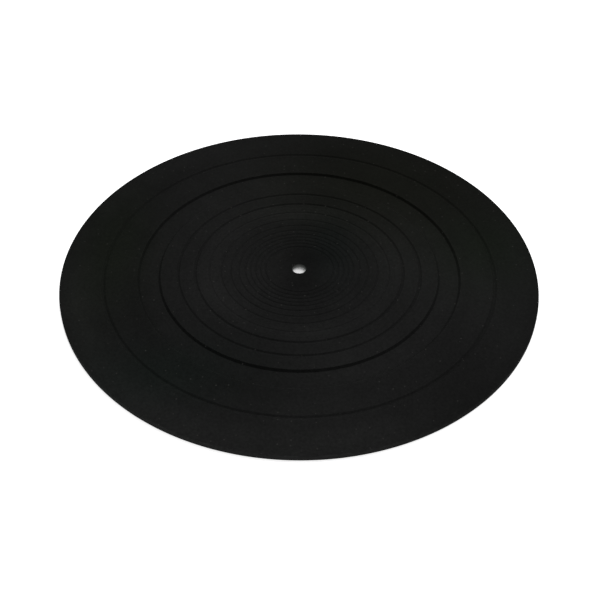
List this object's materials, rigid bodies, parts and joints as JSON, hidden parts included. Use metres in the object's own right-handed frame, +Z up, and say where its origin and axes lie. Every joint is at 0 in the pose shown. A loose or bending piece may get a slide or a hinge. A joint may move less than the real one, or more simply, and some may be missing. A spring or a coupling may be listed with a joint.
{
  "type": "turntable platter mat",
  "caption": "Round black rubber mat for a record player's platter, with a spindle hole, concentric pressed rings, a sunken ring channel and a flat rim.",
  "frame": {"origin": "centre of the flat underside, on the axis of the spindle hole", "axes": "+Z up through the spindle hole, out of the ringed face; X and Y across the disc"},
  "size_m": [0.295, 0.295, 0.003],
  "materials": {
    "mat_rubber": "matte, fine moulded grain"
  },
  "bodies": {
    "root": {"platter_mat": "mat_rubber"}
  },
  "joints": []
}
